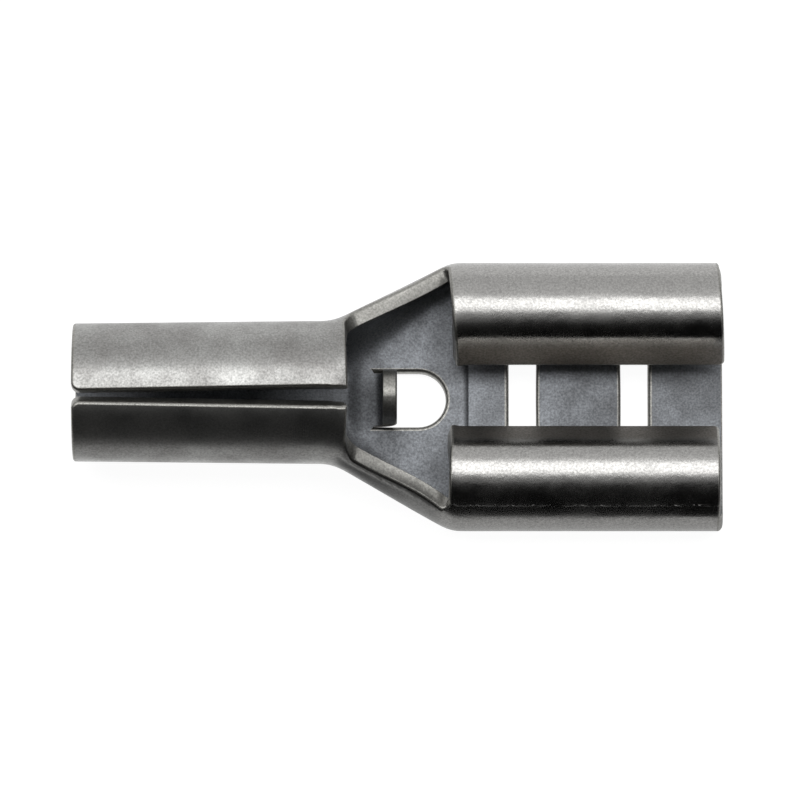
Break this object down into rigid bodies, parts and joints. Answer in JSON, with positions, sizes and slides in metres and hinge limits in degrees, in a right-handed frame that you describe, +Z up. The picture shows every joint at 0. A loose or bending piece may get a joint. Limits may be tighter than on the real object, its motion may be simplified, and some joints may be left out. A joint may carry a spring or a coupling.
{
  "type": "female spade terminal",
  "caption": "Stamped sheet-metal female spade terminal: open-seam crimp barrel, tapering neck with a bent-up wire stop, flat receptacle with curled rails that grip a blade tab.",
  "frame": {"origin": "Centre of the bounding box in X and Y, on the surface that the terminal lies on (underside of the receptacle floor and lowest line of the barrel) in Z.", "axes": "+X along the terminal from the wire end to the tab mouth, +Z up out of the receptacle floor towards the open seam of the barrel, +Y towards the rail whose lip sits slightly forward."},
  "size_m": [0.0188, 0.0078, 0.004],
  "materials": {
    "tin_plate": "satin tin plating over brass strip"
  },
  "bodies": {
    "root": {"terminal": "tin_plate"}
  },
  "joints": []
}
